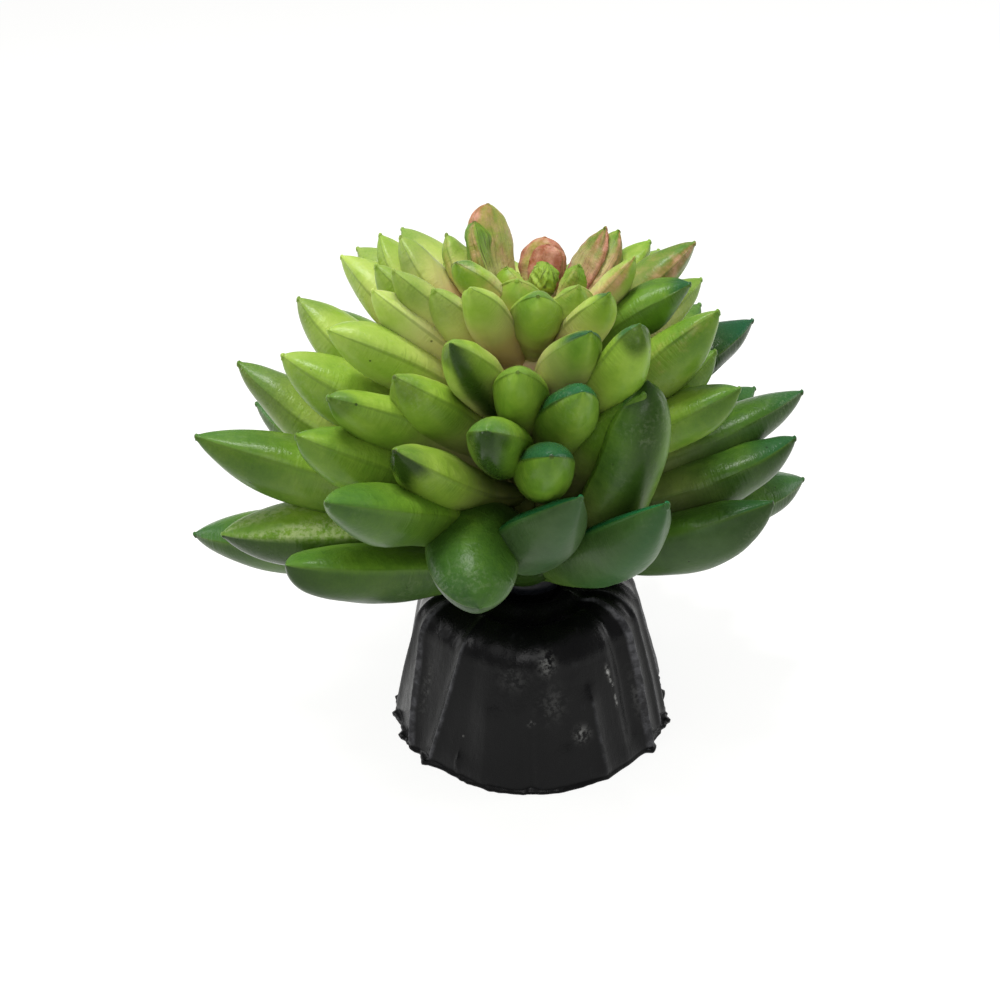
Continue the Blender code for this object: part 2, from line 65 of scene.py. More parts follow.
# name, azimuth (0 = front, + = right), reach, tip height, foot height,
# width, thickness, bend, roll, tip bluntness, sideways sweep
LEAVES = [
    ("a01", -95, 62, 6, 4, 15, 12, 2, -4, 2, 0),
    ("a02", -77, 54, 15, 7, 15, 11.5, 3, -8, 2.2, 0),
    ("a03", -58, 47, 16, 4, 15, 10, 0, -18, 2.3, 0),
    ("a04", -33, 55, 37.5, 12, 13.5, 9.5, 1, -3, 1.5, 1),
    ("a05", -12, 43.5, 18.4, 7, 14.8, 10.6, 7.8, 0, 3.3, 4.4),
    ("a06", 8, 40, 35, 10, 13.5, 8.5, -2, 0, 1.7, 4),
    ("a07", 26, 42, 33, 6, 12, 9.5, -1.5, 15, 1.5, 0),
    ("a08", 68, 43, 22.5, 8, 15, 11, -2.5, 24, 1.6, 0),
    ("a09", 104, 55, 13, 6.5, 15, 11, 0.5, 0, 2.1, 0),
    ("a10", 126, 54, 11, 4, 15, 11, 1.5, 0, 2, 0),
    ("a11", 149, 57, 14, 8, 15, 11, 1, 0, 1.9, 0),
    ("a12", 172, 56, 9, 4, 15, 11, 2, 0, 2, 0),
    ("a13", -165, 58, 15, 8, 15, 11, 0.5, 0, 1.9, 0),
    ("a14", -142, 57, 9, 4, 15, 11, 2, 0, 2.1, 0),
    ("a15", -118, 60, 14, 7, 15, 11, 0.5, 0, 1.9, 0),
    ("b01", -78, 56.5, 33, 13, 14, 12, 0.5, -13, 1.75, 0),
    ("b02", -52, 46, 40, 17, 13.5, 10.5, 0.5, 0, 2, 0),
    ("b03", -30, 42, 41, 20, 12, 9, -1, 12, 1.8, 0),
    ("b04", -11, 42, 46, 27, 9, 8.8, 0, 0, 2.4, 0),
    ("b05", 1.5, 41, 42, 23, 9.4, 9, 0, 0, 2.4, 0),
    ("b06", 30, 32, 48, 9, 12, 9.2, -6, 0, 2.8, 0.9),
    ("b07", 85, 46, 29, 14, 14, 10, -2, 12, 1.9, 0),
    ("b08", 96, 49, 34, 16, 13.5, 9.5, 0, 14, 1.85, 0),
    ("b09", 117, 50, 28, 14, 14, 10, 0, 0, 1.9, 0),
    ("b10", 138, 52, 31, 15, 14, 10, 0, 0, 1.9, 0),
    ("b11", 160, 51, 27, 14, 14, 10, 0, 0, 1.9, 0),
    ("b12", -177, 53, 31, 16, 14, 10, 0, 0, 1.9, 0),
    ("b13", -155, 52, 27, 14, 14, 10, 0, 0, 1.9, 0),
    ("b14", -132, 54, 32, 15, 14, 10, 0, 0, 1.9, 0),
    ("b15", -112, 55, 26, 12, 14, 10, 0, 0, 1.9, 0),
    ("c01", -98, 51.5, 39, 13.5, 13.5, 10.5, -1, -3, 1.7, 0),
    ("c02", -79, 41.5, 45.5, 24, 12.5, 11, 0.5, 0, 2.2, 0),
    ("c03", -48, 42, 46, 21, 12, 9, 2, -8, 2.2, 0),
    ("c04", -39, 34, 48.5, 27, 11.5, 9, 0, 0, 2, 0),
    ("c05", -96, 39.5, 51.5, 26, 12.5, 9.5, -0.5, 0, 2.15, 0),
    ("c06", 9, 36, 49.5, 26, 9.6, 8.5, 0, 0, 2, 0),
    ("c07", 27, 33.5, 47, 18, 11, 8, 0, 0, 2, 0),
    ("c08", 62, 36.5, 43, 23.5, 12.5, 9, 0.5, 0, 1.9, 0),
    ("c09", 84, 31, 44.5, 24, 11, 8, 0, 0, 1.9, 0),
    ("c10", 110, 43.5, 44, 24, 12.5, 8.5, 2, 3, 2, 0),
    ("c11", 130, 44, 43, 23, 12.5, 9, 0.5, 0, 1.9, 0),
    ("c12", 151, 43, 45, 25, 12.5, 9, 0.5, 0, 1.9, 0),
    ("c13", 172, 44, 43, 24, 12.5, 9, 0.5, 0, 1.9, 0),
    ("c14", -167, 43, 45, 25, 12.5, 9, 0.5, 0, 1.9, 0),
    ("c15", -146, 44, 43, 23, 12.5, 9, 0.5, 0, 1.9, 0),
    ("c16", -122, 44, 44, 24, 12.5, 9, 0.5, 0, 1.9, 0),
    ("c17", 62, 32, 55, 26, 12, 9.5, 1, 8, 1.8, 0),
    ("d01", -63, 36, 52.5, 30, 12.5, 9, 3, 0, 2.4, 0),
    ("d02", 25, 33, 57.5, 30, 8.6, 8, -2.5, 0, 2.6, 0),
    ("d03", -6, 33, 51.5, 31, 8.5, 8.5, 0, 0, 2.2, 0),
    ("d04", 138, 35, 52, 30, 11.5, 8.5, 1, 0, 2, 0),
    ("d05", 161, 35, 51, 30, 11, 8.5, 1, 0, 2, 0),
    ("d06", -176, 35, 50, 29, 11, 8.5, 1, 0, 2, 0),
    ("d07", -155, 35, 54, 31, 11.5, 8.5, 1, 0, 2, 0),
    ("e01", -23, 33, 55, 34, 8.6, 8.2, 0, 0, 2.2, 0),
    ("e02", 13, 31, 56.5, 34, 9.2, 8.2, 1, 0, 1.8, 0),
    ("e03", 106, 31, 53.5, 34, 10.2, 8, 2, 0, 2, 0),
    ("e04", -108, 34, 57, 32, 11.4, 9, 2.5, 5, 1.85, 0),
    ("e05", -118, 34, 57, 34, 11.2, 9, 2.5, 8, 2, 0),
    ("e06", -137, 33, 58.5, 34, 10.8, 8.5, 3, 5, 1.8, 0),
    ("e07", 128, 30, 56, 35, 11, 8, 1, 0, 2, 0),
    ("f01", -65, 28, 57.5, 38, 10.6, 7, 0, 0, 2, 0),
    ("f02", -114, 28, 60.5, 39, 9.8, 7, -1, 0, 2.2, 0),
    ("f03", 75, 26, 57, 38, 10.6, 8, 3, 0, 2, 0),
    ("f04", 94, 27, 61.5, 38, 10, 7, 2.5, 0, 1.9, 0),
    ("f05", 114, 22.5, 60, 38, 10.2, 7.5, 2, 0, 1.6, 0),
    ("f06", 150, 29, 53, 37.5, 11, 8, 1, 0, 2, 0),
    ("f07", 172, 30, 51, 37, 11, 8, 1, 0, 2, 0),
    ("f08", -164, 29, 54, 37.5, 11, 8, 1, 0, 2, 0),
    ("g01", -75, 26, 60, 40, 9.2, 7, 0, 0, 2, 0),
    ("g02", -62, 25, 60.5, 42, 9.2, 6.5, 0, 0, 2, 0),
    ("g03", -100, 22, 62, 42, 9.2, 6.5, 0, 0, 2, 0),
    ("g04", -46, 22, 58.5, 42, 8, 6.5, 0, 0, 2, 0),
    ("g05", -25, 24, 60.5, 41, 7.6, 6.5, 1, 0, 2, 0),
    ("g06", 0, 19, 58.5, 46, 8.2, 7, 0, 0, 2.2, 0),
    ("g07", 29, 22, 59, 42, 8.2, 6.5, 0, 0, 2, 0),
    ("g08", 140, 22, 55, 42, 9.5, 7, 1, 0, 2, 0),
    ("g09", 165, 23, 50, 41, 9.5, 7, 1, 0, 2, 0),
    ("g10", -168, 22, 54, 42, 9.5, 7, 1, 0, 2, 0),
    ("g11", -140, 22, 56, 42, 9.5, 7, 1, 0, 2, 0),
    ("h01", -48, 16.5, 61.5, 47, 9.5, 5, 1, 0, 2.4, 0),
    ("h02", -14, 12, 59, 48, 8.5, 5.5, 0, 0, 2.2, 0),
    ("h03", 26, 15, 58.5, 46, 8.5, 6, 0, 0, 2, 0),
    ("h04", 70, 17, 61, 46, 8, 5, 0, 0, 2, 0),
    ("h05", 118, 17, 62, 47, 8.5, 5, 0, 0, 2, 0),
    ("h06", 152, 14, 54, 46, 8.5, 5, 0, 0, 2, 0),
    ("h07", -172, 14, 53, 46, 8.5, 5, 0, 0, 2, 0),
    ("h08", -110, 15, 62, 47, 8.5, 5, 0, 0, 2, 0),
    ("k01", -128, 9.2, 67, 50, 10.2, 5, 0, 0, 2.2, -1),
    ("k02", 162, 8, 61, 50, 8, 5, 0, 0, 2.2, 0),
    ("k03", 100, 2.5, 58.5, 52, 6.5, 4.5, 0, 0, 2.2, 0),
    ("k04", -60, 5, 58.5, 51, 6, 4, 0, 0, 2.2, 0),
    ("k05", 70, 8, 59, 51, 6, 4, 0, 0, 2.2, 0),
]

# thin second leaves pressed against those of the heart
HEART_EXTRAS = [
    ("k06", -99, 9.6, 65.0, 50, 12.5, 3.6, 0, 0, 3.4, 0),
    ("k07", 150, 5.8, 60.4, 50, 6.2, 3.2, 0, 0, 2.6, 0),
    ("h09", 120, 14.6, 62.6, 47, 7.4, 4.0, 0, 0, 2.0, 0),
]

COLLARS = [
    ("whorl_mid", "d", 29.0, 32.2),
    ("whorl_upper", "e", 32.6, 36.2),
    ("whorl_high", "f", 36.6, 39.6),
    ("whorl_crown", "g", 40.0, 44.6),
    ("whorl_inner", "h", 45.0, 48.6),
    ("whorl_heart", "k", 49.0, 53.0),
]
SINGLE = {"a": "leaf_low", "b": "leaf_second", "c": "leaf_third"}

# ---------------------------------------------------------------- leaf finish
# light: 0 deep green .. 1 pale yellow green; tip: dark airbrush on the end;
# keel: dark airbrush along the underside; bloom: painted grey sheen underneath, a painted
# reflection;
# cream: pale base; red: flush along the edges
TIER = {
    "a": dict(light=0.36, tip=0.70, keel=0.50, painted_sheen=0.45, cream=0.10, red=0.0),
    "b": dict(light=0.48, tip=0.60, keel=0.40, painted_sheen=0.20, cream=0.30, red=0.0),
    "c": dict(light=0.60, tip=0.50, keel=0.25, painted_sheen=0.08, cream=0.45, red=0.0),
    "d": dict(light=0.72, tip=0.40, keel=0.15, painted_sheen=0.0, cream=0.60, red=0.0),
    "e": dict(light=0.76, tip=0.40, keel=0.10, painted_sheen=0.0, cream=0.70, red=0.03),
    "f": dict(light=0.78, tip=0.30, keel=0.05, painted_sheen=0.0, cream=0.80, red=0.10),
    "g": dict(light=0.78, tip=0.35, keel=0.05, painted_sheen=0.0, cream=0.90, red=0.10),
    "h": dict(light=0.72, tip=0.30, keel=0.00, painted_sheen=0.0, cream=0.90, red=0.30),
    "k": dict(light=0.70, tip=0.10, keel=0.00, painted_sheen=0.0, cream=0.80, red=0.90),
}
LOOK = {
    "k05": dict(light=0.58, tip=0.1, red=0.35, fibre=0.6),
    "k04": dict(light=0.68, tip=0.1, red=0.35),
    "k07": dict(light=0.66, tip=0.00, red=1.0, flush=1.0, fibre=0.2, dome=0.6),
    "k06": dict(light=0.52, tip=0.0, red=0.45, flush=0.05, fibre=1.0, dome=0.46),
    "h09": dict(light=0.46, tip=0.20, red=0.65, flush=0.28, fibre=0.6),
    "a01": dict(light=0.36, painted_sheen=0.45, tip=0.5),
    "a02": dict(light=0.46, tip=0.25, keel=1.0, keel_w=1.4, painted_sheen=0.05, pale=0.42),
    "a03": dict(light=0.34, tip=0.30, keel=0.75, keel_w=1.0, painted_sheen=0.30, dome=0.62),
    "a04": dict(light=0.40, tip=0.35, keel=0.30, painted_sheen=0.08, teal=0.3, widest=0.72, neck=0.25),
    # a05's root darkening is painted shade over the foot of the leaf
    "a05": dict(light=0.18, tip=0.20, keel=0.2, painted_sheen=0.55, tip_from=0.35, neck=0.85, dome=0.5,
                upper=0.5, root=0.8),
    "a06": dict(light=0.24, tip=0.90, tipd=0.10, tip_from=0.00, teal=0.55, keel=0.35, painted_sheen=0.75,
                upper=0.28),
    "a07": dict(light=0.24, tip=0.90, tipd=0.10, tip_from=0.00, teal=0.65, keel=0.45, painted_sheen=0.55,
                upper=0.26),
    "a08": dict(light=0.20, tip=0.50, keel=0.30, painted_sheen=0.55),
    "a09": dict(light=0.24, tip=0.50, keel=0.30, painted_sheen=0.55),
    "b01": dict(light=0.50, tip=0.45, tip_from=0.55, keel=0.05, painted_sheen=0.10),
    "b02": dict(light=0.48, tip=0.20, keel=0.10, painted_sheen=0.0),
    "b03": dict(light=0.64, tip=0.45, tipd=0.98, tip_from=0.80, keel=0.15, cream=0.35, painted_sheen=0.0),
    "b04": dict(light=0.46, tip=0.45, tipd=0.7, tip_from=0.84, keel=1.0, keel_w=0.60, keel_x=0.1,
                cream=0.1, dome=0.55, painted_sheen=0.0),
    "b05": dict(light=0.46, tip=0.85, tipd=0.12, tip_from=0.62, keel=0.08, cream=0.3, dome=0.55,
                painted_sheen=0.0),
    "b06": dict(light=0.38, tip=0.55, tip_from=0.90, keel=0.75, keel_w=0.42, keel_x=0.3, painted_sheen=0.25,
                dome=0.55),
    "b07": dict(light=0.20, tip=0.60, keel=0.30),
    "b08": dict(light=0.28, tip=0.60, keel=0.30, painted_sheen=0.25),
    "c01": dict(light=0.66, tip=0.55, tip_from=0.5, keel=0.1),
    "c02": dict(light=0.66, tip=0.15, keel=0.05),
    "c03": dict(light=0.60, tip=0.50, tip_from=0.90, keel=0.05, cream=0.65),
    "c04": dict(light=0.66, tip=0.40, tip_from=0.86, keel=0.05),
    "c05": dict(light=0.76, tip=0.40, tip_from=0.80, keel=0.0),
    "c06": dict(light=0.54, tip=1.0, tipd=0.12, tip_from=0.50, teal=0.25, keel=0.06, dome=0.6,
                upper=0.46),
    "c07": dict(light=0.52, tip=0.40, keel=0.2),
    "c08": dict(light=0.46, tip=0.40, keel=0.2),
    "c09": dict(light=0.50, tip=0.40, keel=0.2),
    "c10": dict(light=0.10, tip=0.80, tip_from=0.2, keel=0.6),
    "c17": dict(light=0.58, tip=0.30, keel=0.1, red=0.25),
    "d01": dict(light=0.78, tip=0.15, keel=0.0),
    "d02": dict(light=0.58, tip=0.75, tipd=0.70, tip_from=0.90, keel=0.1, dome=0.55),
    "d03": dict(light=0.60, tip=0.35, tipd=0.05, tip_from=0.80, keel=0.0, dome=0.6),
    "e01": dict(light=0.70, tip=0.40, tipd=0.55, tip_from=0.90, keel=1.0, keel_w=0.36, keel_x=-0.5,
                dome=0.7),
    "e02": dict(light=0.55, tip=0.85, tipd=0.2, tip_from=0.74, keel=0.05),
    "e04": dict(light=0.82, tip=0.15),
    "f01": dict(light=0.95, tip=0.08),
    "f02": dict(light=0.76, tip=0.25),
    "f03": dict(light=0.36, tip=0.75, tipd=0.5, tip_from=0.84, cream=0.2),
    "f04": dict(light=0.42, tip=0.30, cream=0.4, red=0.40, flush=0.22),
    "f05": dict(light=0.66, tip=0.20, red=0.15),
    "g05": dict(light=0.74, tip=0.35, tipd=0.1, tip_from=0.90, dome=0.7),
    "g06": dict(light=0.62, tip=0.50, tipd=0.1, tip_from=0.86, dome=0.6, neck=0.75, cream=0.45),
    "g07": dict(light=0.68, tip=0.70, tipd=0.3, tip_from=0.88),
    "h01": dict(light=0.62, tip=0.50, tipd=0.1, tip_from=0.86, pale=0.3, red=0.3, upper=0.5),
    "h04": dict(light=0.70, tip=0.20, red=0.55),
    "h05": dict(light=0.50, tip=0.10, red=0.5, flush=0.15, fibre=0.6),
    "k01": dict(light=0.60, tip=0.0, red=0.5, flush=0.42, fibre=0.35, dome=0.55),
    "k02": dict(light=0.72, tip=0.00, red=0.8, flush=0.60, fibre=0.2, dome=0.6),
    "k03": dict(light=0.62, tip=0.10, red=0.00, fibre=1.0, cream=0.1, dome=0.55),
}


def look_of(name, az):
    s = dict(TIER[name[0]])
    s.update(pale=0.0, fibre=0.0, flush=0.0, tip_from=0.66, keel_w=0.6, neck=LEAF_NECK,
             dome=0.85, upper=LEAF_UPPER, widest=LEAF_WIDEST, teal=0.0, keel_x=0.0, root=0.0,
             veil=1.0 if name[0] in "efgh" else 0.0)
    if name not in LOOK:
        # the right and the back of the lower tiers are the darker ones: partly their airbrush,
        # partly painted shade away from the light at the top left
        dark = 0.5 - 0.5 * math.cos(math.radians(az + 70.0))
        s["light"] -= {"a": 0.16, "b": 0.16, "c": 0.12}.get(name[0], 0.04) * dark
    s.update(LOOK.get(name, {}))
    s.setdefault("tipd", s["tip"])
    return s


# ---------------------------------------------------------------- frame
def plant_frame():
    z = np.array([math.sin(math.radians(LEAN_RIGHT)),
                  math.sin(math.radians(LEAN_BACK)), 0.0])
    z[2] = math.sqrt(1.0 - z[0] ** 2 - z[1] ** 2)
    x = np.array([1.0, 0.0, 0.0])
    x = x - z * (x @ z)
    x = x / np.linalg.norm(x)
    return np.stack([x, np.cross(z, x), z], 1)


FRAME = plant_frame()


def to_part(p):
    return np.array([0.0, 0.0, CROWN_Z]) + np.asarray(p, float) @ FRAME.T


def foot_radius(h):
    return float(np.interp(h, STEM_PROFILE_H, STEM_PROFILE_R))


def smooth(a, b, x):
    t = np.clip((x - a) / (b - a), 0.0, 1.0)
    return t * t * (3.0 - 2.0 * t)


# ---------------------------------------------------------------- mesh helpers
def build_mesh(name, verts_mm, faces, attrs, mat):
    me = bpy.data.meshes.new(name)
    me.from_pydata((np.asarray(verts_mm) * MM).tolist(), [], faces)
    for key, values in attrs.items():
        at = me.attributes.new(key, "FLOAT", "POINT")
        at.data.foreach_set("value", np.asarray(values, dtype=np.float32))
    bm = bmesh.new()
    bm.from_mesh(me)
    bmesh.ops.recalc_face_normals(bm, faces=bm.faces)
    bm.to_mesh(me)
    bm.free()
    me.polygons.foreach_set("use_smooth", [True] * len(me.polygons))
    me.materials.append(mat)
    ob = bpy.data.objects.new(name, me)
    bpy.context.scene.collection.objects.link(ob)
    return ob


def grid_faces(n, m, first_cap=True, tip_vert=None):
    """faces of n rings of m points, closed round; the last ring may end in a
    point, whose index is tip_vert"""
    faces = []
    for i in range(n - 1):
        for j in range(m):
            a, b = i * m + j, i * m + (j + 1) % m
            faces.append((a, b, b + m, a + m))
    if first_cap:
        faces.append(tuple(reversed(range(m))))
    top = (n - 1) * m
    if tip_vert is not None:
        for j in range(m):
            faces.append((top + j, top + (j + 1) % m, tip_vert))
    else:
        faces.append(tuple(top + j for j in range(m)))
    return faces


def wave_noise(rng, count, freq):
    """a smooth wavy function of two numbers, about -1..1"""
    k = rng.normal(0.0, freq, (count, 2))
    p = rng.uniform(0.0, 2.0 * math.pi, count)

    def f(a, b):
        total = 0.0
        for i in range(count):
            total = total + np.sin(k[i, 0] * a + k[i, 1] * b + p[i])
        return total / math.sqrt(count)
    return f


# ---------------------------------------------------------------- one leaf
QUARTER = (0.0, 2.2, 5.0, 9.0, 15.0, 23.0, 33.0, 45.0, 59.0, 74.0)
ANGLES = np.radians([q for q in QUARTER] + [90.0]
                    + [180.0 - q for q in reversed(QUARTER)]
                    + [180.0 + q for q in QUARTER[1:]] + [270.0]
                    + [360.0 - q for q in reversed(QUARTER[1:])])
STATIONS = np.concatenate([np.linspace(0.0, 0.86, 34)[:-1],
                           0.86 + 0.14 * (1 - (1 - np.linspace(0, 1, 15)) ** 1.5)])


def leaf_arrays(row, look, seed):
    (name, az, reach, tip_h, foot_h, width, thick, bend, roll, blunt,
     sweep) = row
    rng = np.random.default_rng(seed)
    dent = wave_noise(rng, 5, 2.6)
    edge = wave_noise(rng, 4, 7.0)
    fibre = look["fibre"]
    a = math.radians(az)
    out = np.array([math.sin(a), -math.cos(a), 0.0])
    up = np.array([0.0, 0.0, 1.0])
    foot_r = min(foot_radius(foot_h), max(reach - 3.0, 0.0))
    foot = out * foot_r + up * foot_h
    tip = out * reach + up * tip_h
    length = np.linalg.norm(tip - foot)
    along = (tip - foot) / length
    side = np.cross(out, up)
    rise = np.cross(side, along)
    mid = (foot + tip) / 2.0 + rise * bend * 2.0 + side * sweep * 2.0
    mucro = rng.uniform(0.15, 0.40) if name[0] not in "k" else 0.15
    nib = 0.50 if name[0] in "abc" else 0.42
    neck, dome, widest = look["neck"], look["dome"], look["widest"]
    th = ANGLES
    cs, sn = np.cos(th), np.sin(th)
    s1 = np.abs(sn)
    upper = look["upper"]
    lens = np.where(sn >= 0.0, upper * (0.78 * s1 + 0.22 * s1 ** 2),
                    -(1.0 - upper) * (0.90 * s1 + 0.10 * s1 ** 2))
    ridge = np.sign(cs) * np.exp(-(s1 / 0.07) ** 2)
    pts, att = [], {k: [] for k in ("t", "x", "up")}

    def frame_at(t):
        centre = (1 - t) ** 2 * foot + 2 * t * (1 - t) * mid + t * t * tip
        d = 2 * (1 - t) * (mid - foot) + 2 * t * (tip - mid)
        d = d / np.linalg.norm(d)
        s = np.cross(d, rise)
        s = s / np.linalg.norm(s)
        if s @ side < 0:
            s = -s
        n = np.cross(s, d)
        c, k = math.cos(math.radians(roll)), math.sin(math.radians(roll))
        return centre, d, c * s + k * n, c * n - k * s

    def add(centre, s, n, t, w, extra=None):
        h = w ** 0.85
        x = cs * width / 2 * w + ridge * 0.09 * min(1.0, 3 * w)
        y = lens * thick * h
        bump = 0.16 * dent(t * 5.0 + 0 * th, th) * min(1.0, 2.5 * w)
        if fibre:
            bump = bump + fibre * 0.10 * np.sin(cs * 26.0 + 2.0 * dent(t * 3, th)) \
                + fibre * 0.22 * edge(t * 4.0 + 0 * th, th * 0.8)
        x = x + bump * cs
        y = y + bump * sn
        if extra is not None:
            x, y = x * extra, y * extra
        pts.append(centre + np.outer(x, s) + np.outer(y, n))
        att["t"].append(np.full(len(th), t))
        att["x"].append(cs.copy())
        att["up"].append(sn.copy())

    c0, d0, s0, n0 = frame_at(0.0)
    add(c0 - d0 * 1.6, s0, n0, 0.0, neck)
    for t in STATIONS[:-1]:
        c, d, s, n = frame_at(t)
        if t < widest:
            w = neck + (1 - neck) * math.sin(math.pi / 2 * t / widest) ** 1.15
        else:
            w = (1.0 - ((t - widest) / (1 - widest)) ** blunt) ** dome
        add(c, s, n, t, max(w, 2.0 * nib / width))
    c, d, s, n = frame_at(1.0)
    curl = (0.5 * n + 0.3 * d)
    for f, r in ((0.0, 0.95), (0.45, 0.7), (0.8, 0.42)):
        x = cs * nib * r
        y = sn * nib * r
        centre = c + d * mucro * f + n * 0.25 * mucro * f * f
        pts.append(centre + np.outer(x, s) + np.outer(y, n))
        att["t"].append(np.full(len(th), 1.0 + 0.02 * (f + 0.2)))
        att["x"].append(cs.copy())
        att["up"].append(sn.copy())
    n_rings = len(pts)
    verts = np.concatenate(pts)
    verts = np.vstack([verts, c + d * mucro + n * 0.25 * mucro])
    arrays = {k: np.concatenate(v) for k, v in att.items()}
    arrays["t"] = np.append(arrays["t"], 1.03)
    arrays["x"] = np.append(arrays["x"], 0.0)
    arrays["up"] = np.append(arrays["up"], 0.0)
    return to_part(verts), n_rings, arrays, rng


def leaf_masks(arr, look, rng, blunt):
    t, x, u = arr["t"], arr["x"], arr["up"]
    w1, w2 = wave_noise(rng, 4, 1.6), wave_noise(rng, 4, 3.2)
    drift = 0.03 * w1(t * 3, x * 2)
    under = smooth(0.05, -0.15, u)
    widest = look["widest"]
    past = np.clip((t - widest) / (1 - widest), 0.0, 1.0)
    wide = np.where(t > widest, np.sqrt(1 - past ** blunt), 1.0)
    off = np.abs(x - look["keel_x"]) * wide
    start = look["tip_from"]
    tip = smooth(start, 0.3 * start + 0.7, t + drift)
    strength = look["tip"] * (1 - under) + look["tipd"] * under
    keel = look["keel"] * under * np.exp(-((off + 0.08 * w2(t, 0 * x)) / look["keel_w"]) ** 2) \
        * smooth(0.10, 0.50, t + drift)
    # the root term is painted shade: a leaf's foot darkened where it sits in the shadow between
    # leaves
    dark = np.maximum(np.maximum(strength * tip, keel), look["root"] * smooth(0.50, 0.22, t))
    edge = np.exp(-((1 - np.abs(x)) / 0.16) ** 2)
    base = look["cream"] * smooth(0.92 + 0.10 * look["veil"], 0.25 + 0.18 * look["veil"], t + drift)
    # the leaf's tone, paler towards the foot; the 0.05 less underneath is painted shade
    light = look["light"] + 0.10 * (1 - t) * (1 if look["light"] > 0.3 else 0.6) \
        + 0.05 * w1(x * 2, t * 2) - 0.05 * under
    patch = smooth(-0.2, 0.9, w2(t * 2, x * 1.5))
    red = look["red"] * np.clip(0.25 * smooth(0.3, 0.9, t) + 0.7 * edge * smooth(0.15, 0.6, t)
                                + 0.30 * patch, 0, 1) \
        + look["flush"] * smooth(0.1, 0.6, t) * (0.7 + 0.3 * patch)
    # painted reflection: grey sheen over the undersides, fading in near the foot
    painted_sheen = look["painted_sheen"] * under * smooth(0.02, 0.3, t) * (0.75 + 0.25 * w2(x, t * 2))
    pale = look["pale"] * (1 - under) * np.clip(0.4 + 0.5 * w2(t * 4, x * 2) + 0.6 * edge, 0, 1)
    return {
        "m_light": np.clip(light, 0.0, 1.0), "m_dark": np.clip(dark, 0.0, 1.0),
        "m_base": np.clip(base, 0.0, 1.0), "m_red": np.clip(red, 0.0, 1.0),
        "m_painted_sheen": np.clip(painted_sheen, 0.0, 1.0), "m_pale": np.clip(pale, 0.0, 1.0),
        "m_fibre": np.full(len(t), look["fibre"]),
        "m_teal": np.full(len(t), look["teal"]),
        "m_rnd": np.full(len(t), float(rng.uniform(0, 1))),
    }


# ---------------------------------------------------------------- materials
def srgb(hex_code):
    out = []
    for i in (0, 2, 4):
        c = int(hex_code[i:i + 2], 16) / 255.0
        out.append(c / 12.92 if c <= 0.04045 else ((c + 0.055) / 1.055) ** 2.4)
    return (*out, 1.0)


class Nodes:
    def __init__(self, name):
        self.mat = bpy.data.materials.new(name)
        self.mat.use_nodes = True
        self.tree = self.mat.node_tree
        self.bsdf = self.tree.nodes["Principled BSDF"]
        self.coord = self.new("ShaderNodeTexCoord").outputs["Object"]

    def new(self, kind, **props):
        n = self.tree.nodes.new(kind)
        for k, v in props.items():
            setattr(n, k, v)
        return n

    def put(self, socket, value):
        if isinstance(value, bpy.types.NodeSocket):
            self.tree.links.new(value, socket)
        else:
            socket.default_value = value

    def attr(self, name):
        return self.new("ShaderNodeAttribute", attribute_name=name,
                        attribute_type="GEOMETRY").outputs["Fac"]

    def math(self, op, a, b=None, c=None, clamp=False):
        n = self.new("ShaderNodeMath", operation=op, use_clamp=clamp)
        for i, v in enumerate((a, b, c)):
            if v is not None:
                self.put(n.inputs[i], v)
        return n.outputs[0]

    def fit(self, v, a, b, c=0.0, d=1.0):
        n = self.new("ShaderNodeMapRange", interpolation_type="SMOOTHSTEP")
        for i, w in enumerate((v, a, b, c, d)):
            self.put(n.inputs[i], w)
        return n.outputs[0]

    def noise(self, scale, detail=2.0, rough=0.5, vector=None, distortion=0.0):
        n = self.new("ShaderNodeTexNoise")
        self.put(n.inputs["Vector"], vector or self.coord)
        n.inputs["Scale"].default_value = scale
        n.inputs["Detail"].default_value = detail
        n.inputs["Roughness"].default_value = rough
        n.inputs["Distortion"].default_value = distortion
        return n.outputs["Fac"]

    def voronoi(self, scale, vector=None, feature="F1"):
        n = self.new("ShaderNodeTexVoronoi", feature=feature)
        self.put(n.inputs["Vector"], vector or self.coord)
        n.inputs["Scale"].default_value = scale
        return n.outputs["Distance"]

    def mix(self, fac, a, b, blend="MIX"):
        n = self.new("ShaderNodeMix", data_type="RGBA", blend_type=blend,
                     clamp_factor=True)
        self.put(n.inputs[0], fac)
        self.put(n.inputs[6], a)
        self.put(n.inputs[7], b)
        return n.outputs[2]

    def ramp(self, fac, stops):
        n = self.new("ShaderNodeValToRGB")
        self.put(n.inputs[0], fac)
        el = n.color_ramp.elements
        while len(el) < len(stops):
            el.new(0.5)
        for e, (pos, col) in zip(el, stops):
            e.position = pos
            e.color = srgb(col)
        return n.outputs[0]

    def combine(self, x, y, z):
        n = self.new("ShaderNodeCombineXYZ")
        for i, v in enumerate((x, y, z)):
            self.put(n.inputs[i], v)
        return n.outputs[0]

    def bump(self, height, strength, distance, normal=None):
        n = self.new("ShaderNodeBump")
        n.inputs["Strength"].default_value = strength
        n.inputs["Distance"].default_value = distance
        self.put(n.inputs["Height"], height)
        if normal is not None:
            self.put(n.inputs["Normal"], normal)
        return n.outputs["Normal"]


